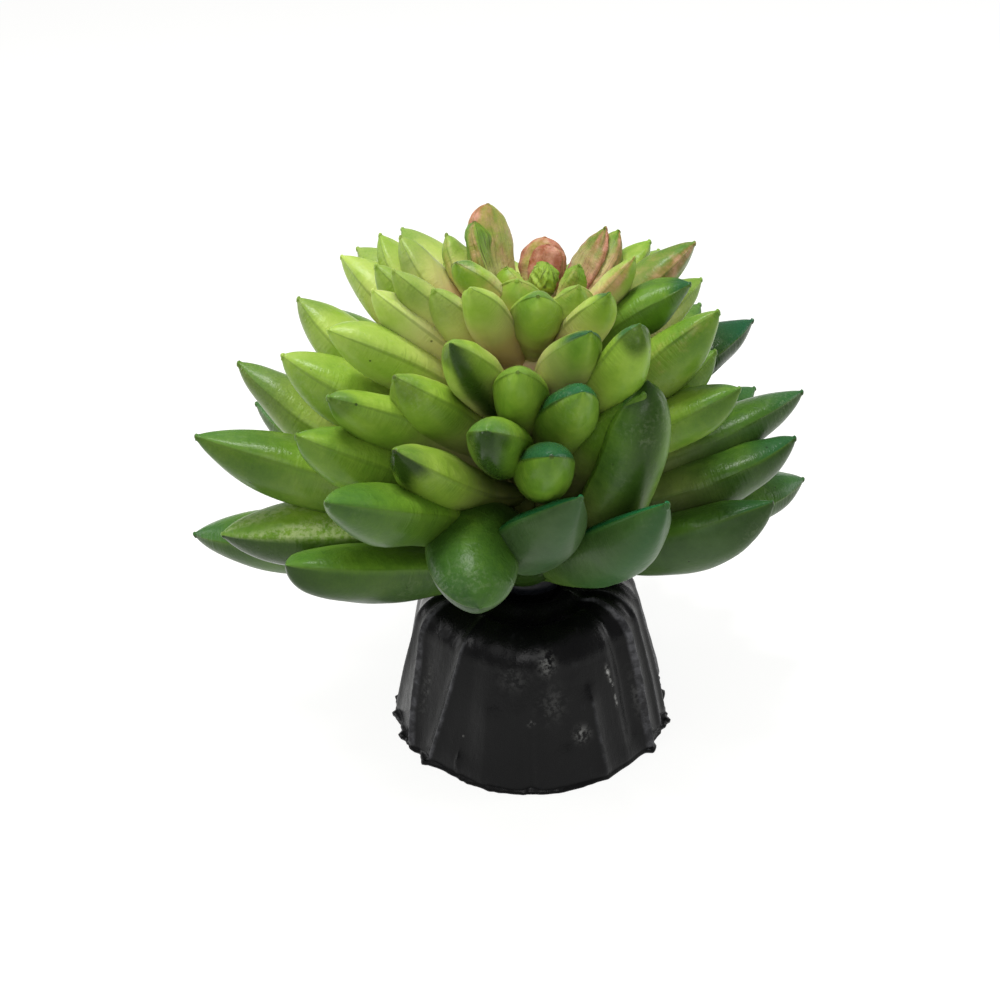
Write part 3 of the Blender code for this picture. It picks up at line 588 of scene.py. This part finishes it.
def leaf_material(name, greens, rough, sss, underside_painted_shade, crinkle):
    k = Nodes(name)
    t, x = k.attr("t"), k.attr("x")
    light, dark = k.attr("m_light"), k.attr("m_dark")
    base, red = k.attr("m_base"), k.attr("m_red")
    painted_sheen, pale = k.attr("m_painted_sheen"), k.attr("m_pale")
    fibre, rnd, up = k.attr("m_fibre"), k.attr("m_rnd"), k.attr("up")
    big = k.noise(110.0, 3.0)
    mid = k.noise(520.0, 4.0, 0.6)
    fine = k.noise(2400.0, 2.0, 0.6)
    ax = k.math("ABSOLUTE", x)
    margin = k.fit(ax, 0.55, 0.97)
    # fine ticks across the leaf, close to its margins
    ticks = k.noise(1.0, 2.0, 0.6, k.combine(k.math("MULTIPLY", t, 75.0),
                                             k.math("MULTIPLY", x, 2.2),
                                             k.math("MULTIPLY", rnd, 40.0)))
    # long fibres, only on the torn heart leaves
    threads = k.noise(1.0, 3.0, 0.7, k.combine(k.math("MULTIPLY", t, 3.0),
                                               k.math("MULTIPLY", x, 16.0),
                                               k.math("MULTIPLY", rnd, 30.0)))
    # green body, from deep to pale yellow green
    wander = k.math("MULTIPLY_ADD", k.math("SUBTRACT", big, 0.5), 0.30, light)
    wander = k.math("MULTIPLY_ADD", k.math("SUBTRACT", mid, 0.5), 0.22, wander)
    col = k.ramp(wander, greens)
    # creamy base, browner where it meets the stem
    creamy = k.math("MULTIPLY_ADD", k.math("SUBTRACT", big, 0.5), 0.3, base)
    col = k.mix(k.fit(creamy, 0.02, 0.85, 0.0, 0.9), col,
                k.mix(k.fit(base, 0.72, 0.98), srgb("d2c78a"), srgb("cfa87f")))
    # painted reflection: a greyish sheen painted on the undersides
    col = k.mix(k.math("MULTIPLY", painted_sheen, k.fit(mid, 0.2, 0.9, 0.35, 0.75)),
                col, srgb("566850"))
    # airbrushed dark green
    spray = k.math("MULTIPLY_ADD", k.math("SUBTRACT", big, 0.5), 0.16, dark)
    spray = k.math("MULTIPLY_ADD", k.math("SUBTRACT", fine, 0.5), 0.18, spray)
    col = k.mix(k.fit(spray, 0.0, 0.95, 0.0, 0.95), col,
                k.mix(k.attr("m_teal"),
                      k.mix(k.math("MULTIPLY", k.fit(t, 0.72, 0.95), k.fit(up, -0.05, 0.12)),
                            srgb("20390c"), srgb("1a5033")), srgb("1a6b3c")))
    # red flush
    flush = k.math("MULTIPLY_ADD", k.math("SUBTRACT", mid, 0.5), 0.7, red)
    col = k.mix(k.fit(flush, 0.12, 0.9, 0.0, 0.92), col,
                k.mix(k.fit(mid, 0.3, 0.75), srgb("9c4a3b"), srgb("cc9180")))
    # pale scuffs
    col = k.mix(k.math("MULTIPLY", pale, k.fit(k.noise(1100.0, 3.0, 0.65), 0.38, 0.60)), col,
                srgb("cdd3a4"))
    # faint dusty wear, patchy
    wear = k.math("MULTIPLY", k.fit(k.noise(90.0, 3.0, 0.6), 0.50, 0.72),
                  k.fit(k.noise(1500.0, 3.0, 0.7), 0.46, 0.66))
    col = k.mix(k.math("MULTIPLY", wear, 0.12), col, srgb("c3cbaa"))
    # darker fibres
    col = k.mix(k.math("MULTIPLY", fibre, k.fit(threads, 0.5, 0.66, 0.0, 0.75)),
                col, srgb("3a3a14"))
    # thin darker line of the parting ridge
    col = k.mix(k.math("MULTIPLY", k.fit(ax, 0.9925, 0.9995), 0.35), col,
                srgb("46601f"))
    # small dark specks
    cell = k.voronoi(330.0)
    speck = k.math("MULTIPLY", k.fit(cell, 0.085, 0.05),
                   k.fit(k.noise(140.0, 1.0), 0.56, 0.62))
    col = k.mix(k.math("MULTIPLY", speck, 0.75), col, srgb("20260e"))
    # dry point
    col = k.mix(k.math("MULTIPLY", k.fit(t, 1.004, 1.02), k.fit(rnd, 0.55, 0.8, 0.0, 0.55)),
                col, srgb("2b2413"))
    # painted shade: the undersides darkened towards deep olive, most on the lowest leaves
    col = k.mix(k.fit(up, 0.05, -0.25, 0.0, underside_painted_shade), col, srgb("1c2a10"))
    k.put(k.bsdf.inputs["Base Color"], col)
    r = k.math("MULTIPLY_ADD", k.math("SUBTRACT", mid, 0.5), 0.22, rough)
    r = k.math("MULTIPLY_ADD", painted_sheen, 0.10, r)
    r = k.math("MULTIPLY_ADD", dark, -0.08, r)
    k.put(k.bsdf.inputs["Roughness"], r)
    tick_h = k.math("MULTIPLY", k.math("MULTIPLY", ticks, margin), 0.7)
    hgt = k.math("MULTIPLY_ADD", mid, 0.45, tick_h)
    hgt = k.math("MULTIPLY_ADD", k.math("MULTIPLY", fibre, threads), 1.6, hgt)
    hgt = k.math("MULTIPLY_ADD", speck, -0.5, hgt)
    wavy = k.noise(700.0, 3.0, 0.6, distortion=0.6)
    hgt = k.math("MULTIPLY_ADD", k.math("MULTIPLY", wavy, k.fit(up, -0.1, 0.3, 0.25, 1.0)),
                 crinkle * 1.3, hgt)
    n1 = k.bump(hgt, 0.60, 0.00032)
    n2 = k.bump(fine, 0.12, 0.0001, n1)
    k.put(k.bsdf.inputs["Normal"], n2)
    k.bsdf.inputs["Subsurface Weight"].default_value = sss
    k.bsdf.inputs["Subsurface Radius"].default_value = (0.8, 1.0, 0.3)
    k.bsdf.inputs["Subsurface Scale"].default_value = 0.0022
    k.bsdf.inputs["Specular IOR Level"].default_value = 0.16
    k.bsdf.inputs["Coat Weight"].default_value = 0.04
    k.bsdf.inputs["Coat Roughness"].default_value = 0.18
    return k.mat


GREENS = [(0.0, "26421a"), (0.25, "42661f"), (0.45, "638a25"), (0.65, "8aaa3a"),
          (0.85, "adc35c"), (1.0, "c6d184")]
LEAF_MATS = {
    "a": leaf_material("vinyl_deep_green", GREENS, 0.36, 0.05, 0.34, 0.8),
    "b": leaf_material("vinyl_green", GREENS, 0.34, 0.08, 0.20, 0.6),
    "c": leaf_material("vinyl_bright_green", GREENS, 0.34, 0.10, 0.12, 0.5),
    "d": leaf_material("vinyl_light_green", GREENS, 0.36, 0.20, 0.03, 0.5),
    "k": leaf_material("vinyl_heart", GREENS, 0.42, 0.16, 0.0, 1.0),
}
MAT_OF = {"a": "a", "b": "b", "c": "c", "d": "d", "e": "d", "f": "d", "g": "d",
          "h": "k", "k": "k"}


def plug_material():
    k = Nodes("black_plastic")
    rib = k.attr("m_rib")
    big = k.noise(70.0, 3.0)
    mid = k.noise(420.0, 4.0, 0.62)
    fine = k.noise(2600.0, 2.0, 0.6)
    sep = k.new("ShaderNodeSeparateXYZ")
    k.put(sep.inputs[0], k.coord)
    streak_v = k.combine(k.math("MULTIPLY", sep.outputs[0], 520.0),
                         k.math("MULTIPLY", sep.outputs[1], 520.0),
                         k.math("MULTIPLY", sep.outputs[2], 60.0))
    streak = k.noise(1.0, 4.0, 0.65, streak_v)
    col = k.ramp(big, [(0.2, "040405"), (0.55, "070708"), (0.9, "0d0d0e")])
    # vertical streaks: partly the plastic's own rough, bumpy streaks, partly painted highlight in
    # lighter grey
    col = k.mix(k.fit(streak, 0.60, 0.80, 0.0, 0.5), col, srgb("232325"))
    # painted highlight: lighter grey along the rib crests, standing for the bright lines the light
    # draws on them
    col = k.mix(k.math("MULTIPLY", k.fit(rib, 0.55, 1.0), k.fit(mid, 0.35, 0.8, 0.10, 0.8)),
                col, srgb("66666a"))
    col = k.mix(k.math("MULTIPLY", k.attr("m_scuff"), k.fit(k.noise(900.0, 3.0, 0.7), 0.42, 0.62)),
                col, srgb("a9a9a6"))
    chips = k.math("MULTIPLY", k.fit(k.voronoi(260.0), 0.10, 0.05),
                   k.fit(k.noise(90.0, 2.0), 0.60, 0.68))
    col = k.mix(k.math("MULTIPLY", chips, 0.5), col, srgb("8d8d88"))
    k.put(k.bsdf.inputs["Base Color"], col)
    r = k.math("MULTIPLY_ADD", k.math("SUBTRACT", mid, 0.5), 0.30, 0.27)
    r = k.math("MULTIPLY_ADD", k.math("SUBTRACT", streak, 0.5), 0.20, r)
    k.put(k.bsdf.inputs["Roughness"], r)
    h = k.math("MULTIPLY_ADD", streak, 0.6, k.math("MULTIPLY", mid, 0.5))
    n1 = k.bump(h, 0.45, 0.0004)
    k.put(k.bsdf.inputs["Normal"], k.bump(fine, 0.12, 0.0001, n1))
    k.bsdf.inputs["Specular IOR Level"].default_value = 0.15
    return k.mat


def stem_material():
    k = Nodes("stem_plastic")
    mid = k.noise(300.0, 4.0, 0.6)
    sep = k.new("ShaderNodeSeparateXYZ")
    k.put(sep.inputs[0], k.coord)
    green = k.ramp(mid, [(0.3, "3c4a1c"), (0.6, "5f6a2e"), (0.85, "7c7642")])
    # the foot of the stem is the black of the plug
    k.put(k.bsdf.inputs["Base Color"],
          k.mix(k.fit(sep.outputs[2], 0.0375, 0.0415), srgb("0e1015"), green))
    k.put(k.bsdf.inputs["Roughness"], k.fit(mid, 0.2, 0.8, 0.30, 0.50))
    k.put(k.bsdf.inputs["Normal"], k.bump(mid, 0.5, 0.0004))
    return k.mat


def collar_material():
    k = Nodes("collar_vinyl")
    mid = k.noise(260.0, 4.0, 0.6)
    k.put(k.bsdf.inputs["Base Color"],
          k.ramp(mid, [(0.25, "b3ad68"), (0.5, "cdbf86"), (0.8, "d2a47c")]))
    k.put(k.bsdf.inputs["Roughness"], k.fit(mid, 0.2, 0.8, 0.42, 0.58))
    k.put(k.bsdf.inputs["Normal"], k.bump(mid, 0.4, 0.0004))
    k.bsdf.inputs["Subsurface Weight"].default_value = 0.10
    k.bsdf.inputs["Subsurface Radius"].default_value = (1.0, 0.8, 0.3)
    k.bsdf.inputs["Subsurface Scale"].default_value = 0.0022
    return k.mat


# ---------------------------------------------------------------- leaves
counts = {}
whorl_of = {letter: node for node, letter, _, _ in COLLARS}
for index, row in enumerate(LEAVES + HEART_EXTRAS):
    name = row[0]
    look = look_of(name, row[1])
    verts, rings, arr, rng = leaf_arrays(row, look, 1000 + index)
    masks = leaf_masks(arr, look, rng, row[9])
    masks.update(t=arr["t"], x=arr["x"], up=arr["up"])
    m = len(ANGLES)
    faces = grid_faces(rings, m, True, len(verts) - 1)
    ob = build_mesh("skin_" + name, verts, faces, masks,
                    LEAF_MATS[MAT_OF[name[0]]])
    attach(ob, "root")
    if name[0] in SINGLE:
        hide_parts("%s_%s" % (SINGLE[name[0]], name[1:]))
    else:
        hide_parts(whorl_of[name[0]])


# ---------------------------------------------------------------- stem, collars
def turned(name, profile, mat, seed, wobble=0.15, segments=72):
    """a closed turned solid on the plant's leaning axis from (radius, height)"""
    rng = np.random.default_rng(seed)
    f = wave_noise(rng, 5, 2.0)
    th = np.linspace(0, 2 * math.pi, segments, endpoint=False)
    rings = []
    for r, h in profile:
        rr = r + wobble * f(np.cos(th) * 3 + h * 0.3, np.sin(th) * 3)
        rings.append(np.stack([rr * np.cos(th), rr * np.sin(th),
                               np.full(segments, h)], 1))
    verts = to_part(np.concatenate(rings))
    return build_mesh(name, verts, grid_faces(len(profile), segments), {}, mat)


STEM_MAT, COLLAR_MAT = stem_material(), collar_material()
stem_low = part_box("stem")[0]
profile = [(foot_radius(h) - 0.6, h) for h in np.linspace(-0.6, STEM_TOP_H + 3.5, 40)]
stem = turned("stem_core", profile, STEM_MAT, 77)
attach(stem, "root")
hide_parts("stem")
for node, letter, h0, h1 in COLLARS:
    fill = {"d": 1.6, "e": 2.2, "f": 3.2, "g": 3.6, "h": 3.0, "k": 1.4}[letter]
    r0, r1 = foot_radius(h0) + fill, foot_radius(h1) + fill - 0.2
    steps = np.linspace(0, 1, 9)
    prof = [(max(0.6, (r0 + (r1 - r0) * u) + 0.7 * math.sin(math.pi * u)),
             h0 - 0.3 + (h1 - h0 + 0.6) * u) for u in steps]
    ring = turned("collar_" + letter, prof, COLLAR_MAT, 90 + ord(letter), 0.2)
    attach(ring, "root")
    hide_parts(node)

# ---------------------------------------------------------------- plug
# ribs: azimuth at the top, at the bottom (0 = front, + = right), height,
# half width in degrees, and the heights between which they show
SHOULDER_Z = 22.5
SHOULDER_PULL = 5.2
RIBS = [
    (57, 54, 1.9, 3.2, -2, 40), (71, 67, 1.0, 3.0, -2, 40),
    (87, 76, 1.1, 3.2, -2, 36), (-70, -63, 1.6, 3.4, -2, 40),
    (-79, -89, 1.0, 3.4, -2, 36), (-36, -51, 1.1, 3.2, -2, 29),
    (25, 29, 0.9, 3.4, -2, 20), (-9, -8, 0.35, 4.0, 12, 27),
    (7, 5, 0.40, 4.0, 12, 27), (-20, -24, 0.35, 6.0, -2, 18),
    (40, 41, 0.30, 6.0, -2, 24),
    (-36, -36, 0.9, 0.9, 0.2, 6.5),
    (104, 101, 1.5, 3.4, -2, 40), (121, 124, 1.1, 3.3, -2, 34),
    (139, 136, 1.7, 3.5, -2, 40), (158, 163, 1.0, 3.2, -2, 30),
    (177, 175, 1.5, 3.4, -2, 40), (196, 199, 1.1, 3.4, -2, 36),
    (214, 211, 1.6, 3.4, -2, 40), (233, 238, 1.0, 3.3, -2, 34),
    (252, 250, 1.4, 3.4, -2, 40),
]
FOLDS = [(-3, -3, 0.55, 2.6, -2, 17), (13, 12, 0.35, 5.0, 6, 26),
         (-30, -33, 0.4, 6.0, 2, 28), (47, 46, 0.5, 4.0, 2, 29),
         (147, 150, 0.5, 5.0, 0, 29), (186, 187, 0.5, 5.0, 0, 29),
         (223, 224, 0.5, 5.0, 0, 29)]


# whitish scuffs: azimuth, height, half width in degrees, half height, strength
SCUFFS = [(38.2, 19.6, 0.9, 0.9, 1.0), (38.8, 17.8, 0.6, 0.5, 0.9), (39.7, 16.4, 0.6, 0.7, 0.9),
          (40.0, 14.2, 0.5, 0.5, 0.8), (40.1, 12.7, 0.6, 0.5, 0.9), (20.3, 10.1, 2.8, 1.2, 0.42),
          (6.8, 24.4, 3.5, 1.6, 0.35), (-10, 22.0, 7.0, 2.0, 0.07), (8, 17.0, 6.0, 3.0, 0.07),
          (-2, 13.5, 1.2, 0.5, 0.5), (52, 12.0, 2.0, 4.0, 0.08), (-60, 14.0, 2.0, 5.0, 0.10)]


def plug_wall(z, th_deg):
    """radius (array) and rib mask at height z, th_deg = azimuth from the front"""
    u = z / PLUG_H
    r = PLUG_FOOT_R + (PLUG_TOP_R - PLUG_FOOT_R) * np.clip(u, 0, 1) ** 1.15
    a = np.radians(th_deg)
    r = r + 0.30 * np.sin(3 * a + 0.7) + 0.22 * np.sin(5 * a + 2.1)
    rib = np.zeros_like(th_deg, dtype=float)
    for top, bottom, hgt, half, z0, z1 in RIBS:
        mid = bottom + (top - bottom) * u
        d = (th_deg - mid + 180.0) % 360.0 - 180.0
        gate = smooth(z0 - 0.01, z0 + 4, z) * smooth(z1 + 0.01, z1 - 5, z)
        rib = rib + hgt * gate * np.exp(-np.abs(d / half) ** 1.25)
    for top, bottom, hgt, half, z0, z1 in FOLDS:
        mid = bottom + (top - bottom) * u
        d = (th_deg - mid + 180.0) % 360.0 - 180.0
        gate = smooth(z0 - 0.01, z0 + 4, z) * smooth(z1 + 0.01, z1 - 5, z)
        rib = rib - hgt * gate * np.exp(-(d / half) ** 2)
    return r - 0.45, rib


def make_plug():
    seg = 720
    th = np.linspace(-180.0, 180.0, seg, endpoint=False)
    a = np.radians(th)
    rng = np.random.default_rng(5)
    crumple = wave_noise(rng, 7, 1.3)
    ragged = np.interp(np.arange(seg), np.arange(0, seg + 1, seg / 180),
                       np.append(v := rng.uniform(0, 1, 180) ** 2.2, v[0]))
    chunky = np.interp(np.arange(seg), np.arange(0, seg + 1, seg / 60),
                       np.append(v := rng.uniform(0, 1, 60), v[0]))
    sides = np.clip(smooth(35, 62, np.abs(th)), 0.25, 1.0)
    torn = (chunky > 0.45) * smooth(0.45, 0.75, chunky)
    flash = 0.12 + (0.55 * ragged + 1.35 * torn * (0.5 + 0.5 * ragged)) * sides
    rings, masks = [], []

    def ring(r, z, mask):
        rings.append(np.stack([r * np.sin(a), -r * np.cos(a),
                               np.zeros(seg) + z], 1))
        masks.append(np.zeros(seg) + mask)

    wall0, rib0 = plug_wall(0.7, th)
    outer = np.minimum(wall0 + rib0 * 0.7 + 0.35 + flash, 27.6)
    ring(wall0 * 0.90, 0.0, 0.0)
    ring(wall0 + 0.2, 0.0, 0.0)
    ring(outer - 0.1, 0.0, 0.0)
    lift = 0.25 + 0.5 * chunky * sides
    ring(outer, lift, 0.2)
    ring(outer - 0.35 - 0.3 * flash, lift + 0.28, 0.1)
    for z in np.concatenate([[0.95], np.linspace(1.3, SHOULDER_Z, 60)]):
        r, rib = plug_wall(z, th)
        r = r + rib + 0.10 * crumple(a * 3 + z * 0.05, z * 0.16 + a)
        ring(r, z, np.clip(rib / 1.2, 0, 1))
    # the wide round shoulder and the top, over which the ribs run out
    for f in np.linspace(0.0, 1.0, 22)[1:]:
        ang = f * math.pi / 2
        z = SHOULDER_Z + (PLUG_H - 0.3 - SHOULDER_Z) * math.sin(ang)
        r, rib = plug_wall(SHOULDER_Z + 0.6 * (z - SHOULDER_Z), th)
        r = r + rib * math.cos(ang) - SHOULDER_PULL * (1 - math.cos(ang)) \
            + 0.10 * crumple(a * 3 + z * 0.05, z * 0.16 + a)
        ring(r, z + 0.55 * rib * math.sin(ang) - 0.35 * math.sin(ang), np.clip(rib / 1.2, 0, 1))
    r_in, rib_in = r, rib
    for f in np.linspace(1.0, 0.30, 20)[1:]:
        fade = smooth(0.45, 1.0, f)
        ridge_in = rib_in * 0.55 * fade
        hub = 1.1 * smooth(0.80, 0.62, f)
        lump = 0.35 * crumple(a * 2 + f * 5, f * 6 - a) * smooth(0.95, 0.75, f)
        ring(r_in * f, PLUG_H - 0.65 + ridge_in - 0.5 * smooth(1.0, 0.85, f) + hub + lump,
             np.clip(rib_in / 1.2, 0, 1) * fade)
    verts = np.concatenate(rings)
    around = np.degrees(np.arctan2(verts[:, 0], -verts[:, 1]))
    scuff = np.zeros(len(verts))
    for az, z, half, tall, strength in SCUFFS:
        scuff = np.maximum(scuff, strength * np.exp(-((around - az) / half) ** 2
                                                    - ((verts[:, 2] - z) / tall) ** 2))
    ob = build_mesh("plug_shell", verts, grid_faces(len(rings), seg),
                    {"m_rib": np.concatenate(masks), "m_scuff": scuff}, plug_material())
    return ob


plug = make_plug()
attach(plug, "root")
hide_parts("plug")

# ---------------------------------------------------------------- stage
scene = bpy.context.scene
scene.view_settings.view_transform = "Standard"
scene.view_settings.look = "None"
scene.view_settings.exposure = 0.0
scene.view_settings.gamma = 1.0

world = bpy.data.worlds.new("studio") if scene.world is None else scene.world
scene.world = world
world.use_nodes = True
bg = world.node_tree.nodes.get("Background") or \
    world.node_tree.nodes.new("ShaderNodeBackground")
bg.inputs["Color"].default_value = (1.0, 1.0, 1.0, 1.0)
bg.inputs["Strength"].default_value = 0.42

floor_mesh = bpy.data.meshes.new("floor")
floor_mesh.from_pydata([(-4, -4, 0), (4, -4, 0), (4, 4, 0), (-4, 4, 0)], [],
                       [(0, 1, 2, 3)])
floor = bpy.data.objects.new("floor", floor_mesh)
scene.collection.objects.link(floor)
kf = Nodes("pale_floor")
tone = kf.noise(3.0, 3.0)
kf.put(kf.bsdf.inputs["Base Color"],
       kf.ramp(tone, [(0.0, "84847f"), (1.0, "8c8c88")]))
kf.bsdf.inputs["Roughness"].default_value = 0.95
kf.bsdf.inputs["Specular IOR Level"].default_value = 0.0
kf.bsdf.inputs["Emission Color"].default_value = (1.0, 1.0, 1.0, 1.0)
kf.bsdf.inputs["Emission Strength"].default_value = 0.86
floor_mesh.materials.append(kf.mat)


def area_light(name, place, target, size, power, colour=(1, 1, 1)):
    data = bpy.data.lights.new(name, "AREA")
    data.shape = "RECTANGLE"
    data.size, data.size_y = size
    data.energy = power
    data.color = colour
    ob = bpy.data.objects.new(name, data)
    scene.collection.objects.link(ob)
    ob.location = place
    ob.rotation_euler = (Vector(target) - Vector(place)).to_track_quat(
        "-Z", "Y").to_euler()
    return ob


area_light("key", (-0.10, 0.05, 0.70), (0.0, 0.0, 0.07), (0.26, 0.22), 3.1)
area_light("fill", (-0.04, -0.60, 0.46), (0.0, 0.0, 0.06), (0.22, 0.22), 0.85)
area_light("spark", (0.02, 0.10, 0.62), (0.0, 0.0, 0.07), (0.06, 0.05), 0.75)
area_light("front", (-0.75, -0.55, 0.75), (0.0, 0.0, 0.06), (0.50, 0.50), 1.0)
area_light("left", (-0.60, 0.15, 0.22), (0.0, 0.0, 0.04), (0.16, 0.40), 0.9)
area_light("right", (0.60, 0.10, 0.22), (0.0, 0.0, 0.04), (0.16, 0.40), 0.9)

# ---------------------------------------------------------------- camera
ROLL = math.radians(3.0)
DOWN = math.radians(30.0)
d = Vector((0.0, math.cos(DOWN), -math.sin(DOWN)))
right = Vector((1.0, 0.0, 0.0))
upv = Vector((0.0, math.sin(DOWN), math.cos(DOWN)))
cr = right * math.cos(ROLL) - upv * math.sin(ROLL)
cu = right * math.sin(ROLL) + upv * math.cos(ROLL)
focal_px, dist = 1215.0, 1215.0 / 5.06 * MM
off_x, off_y = (532.0 - 500.0) / focal_px * dist, -(701.0 - 500.0) / focal_px * dist
place = -(cr * off_x + cu * off_y + d * dist)
cam_data = bpy.data.cameras.new("camera")
cam_data.sensor_width = 36.0
cam_data.lens = focal_px / 1000.0 * 36.0
cam_data.clip_start = 0.01
cam_data.clip_end = 20.0
cam = bpy.data.objects.new("camera", cam_data)
scene.collection.objects.link(cam)
rot = Matrix((cr, cu, -d)).transposed()
cam.matrix_world = Matrix.Translation(place) @ rot.to_4x4()
scene.camera = cam
